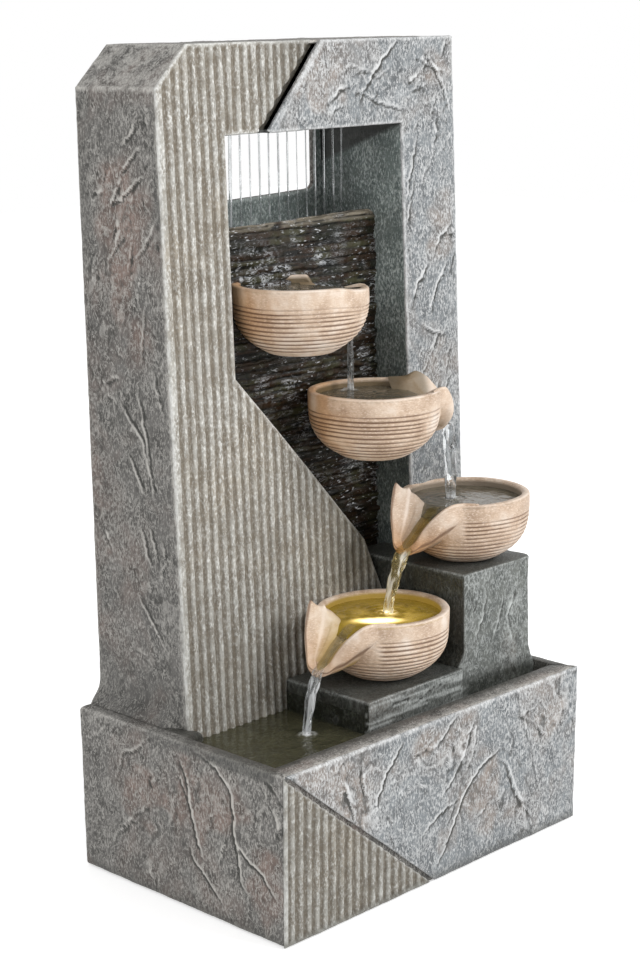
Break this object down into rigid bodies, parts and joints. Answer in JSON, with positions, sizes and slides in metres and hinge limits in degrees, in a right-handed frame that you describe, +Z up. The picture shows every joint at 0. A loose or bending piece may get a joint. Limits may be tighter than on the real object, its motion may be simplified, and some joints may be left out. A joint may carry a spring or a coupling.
{
  "type": "garden wall fountain",
  "caption": "Cast slate-look tower fountain on a basin: water falls as rain over a stacked wall and down through grooved bowls with leaf spouts.",
  "frame": {"origin": "middle of the footprint, on the ground under the basin", "axes": "+Z up, -Y towards the front of the fountain, +X to the right as seen from the front"},
  "size_m": [0.446, 0.305, 0.84],
  "materials": {
    "cast_slate": "cast resin with a riven slate surface, matt",
    "ribbed_slate": "cast resin with dry-brushed ribs, matt",
    "wet_slate": "dark stacked slate, wet",
    "bowl_stoneware": "cast and wiped tan finish, matt",
    "pipe_plastic": "moulded",
    "hose_vinyl": "extruded vinyl",
    "stainless": "plain stainless",
    "pump_plastic": "moulded",
    "rotor_ferrite": "plastic-bonded ferrite",
    "shaft_ceramic": "ground",
    "filter_foam": "open-cell foam",
    "soft_rubber": "moulded",
    "light_case": "potted",
    "light_lens": "warm diffusing lens",
    "door_plastic": "moulded, grained"
  },
  "bodies": {
    "fountain": {"basin": "cast_slate", "tower_shell": "cast_slate", "slate_facing": "cast_slate", "upper_step": "cast_slate", "lower_step": "cast_slate", "ribbed_facing": "ribbed_slate", "wet_wall": "wet_slate", "upper_tray": "wet_slate", "bowl_1": "bowl_stoneware", "bowl_2": "bowl_stoneware", "bowl_3": "bowl_stoneware", "bowl_4": "bowl_stoneware", "rain_bar": "pipe_plastic", "rain_bar_cap": "pipe_plastic", "rain_bar_clips": "pipe_plastic", "riser_hose": "hose_vinyl", "clip_screws": "stainless", "hose_clamps": "stainless", "door_pivot_pins": "stainless", "pump_housing": "pump_plastic", "volute_cover": "pump_plastic", "intake_grille": "pump_plastic", "pump_shaft": "shaft_ceramic", "filter_sponge": "filter_foam", "suction_feet": "soft_rubber", "cable_grommet": "soft_rubber", "light_case_wall_high": "light_case", "light_case_wall_low": "light_case", "light_case_bottom": "light_case", "light_lens_wall_high": "light_lens", "light_lens_wall_low": "light_lens", "light_lens_bottom": "light_lens"},
    "door": {"service_door": "door_plastic"},
    "knob": {"door_knob": "door_plastic", "latch_cam": "door_plastic"},
    "rotor": {"pump_rotor": "rotor_ferrite"},
    "dial": {"flow_dial": "pump_plastic"},
    "plug": {"drain_plug": "soft_rubber"}
  },
  "joints": [
    {"name": "door_swing", "type": "hinge", "parent": "fountain", "child": "door", "pos_m": [-0.057, 0.149, 0.305], "axis": [0, 0, 1], "range_deg": [0, 90]},
    {"name": "knob_turn", "type": "hinge", "parent": "door", "child": "knob", "pos_m": [0.061, 0.1475, 0.305], "axis": [0, 1, 0], "range_deg": [0, 90]},
    {"name": "rotor_spin", "type": "hinge", "parent": "fountain", "child": "rotor", "pos_m": [-0.009, 0.1025, 0.035], "axis": [1, 0, 0], "continuous": true},
    {"name": "dial_turn", "type": "hinge", "parent": "fountain", "child": "dial", "pos_m": [-0.039, 0.1025, 0.035], "axis": [1, 0, 0], "range_deg": [0, 90]},
    {"name": "plug_pull", "type": "slide", "parent": "fountain", "child": "plug", "axis": [0, 1, 0], "range_m": [0, 0.03]}
  ]
}
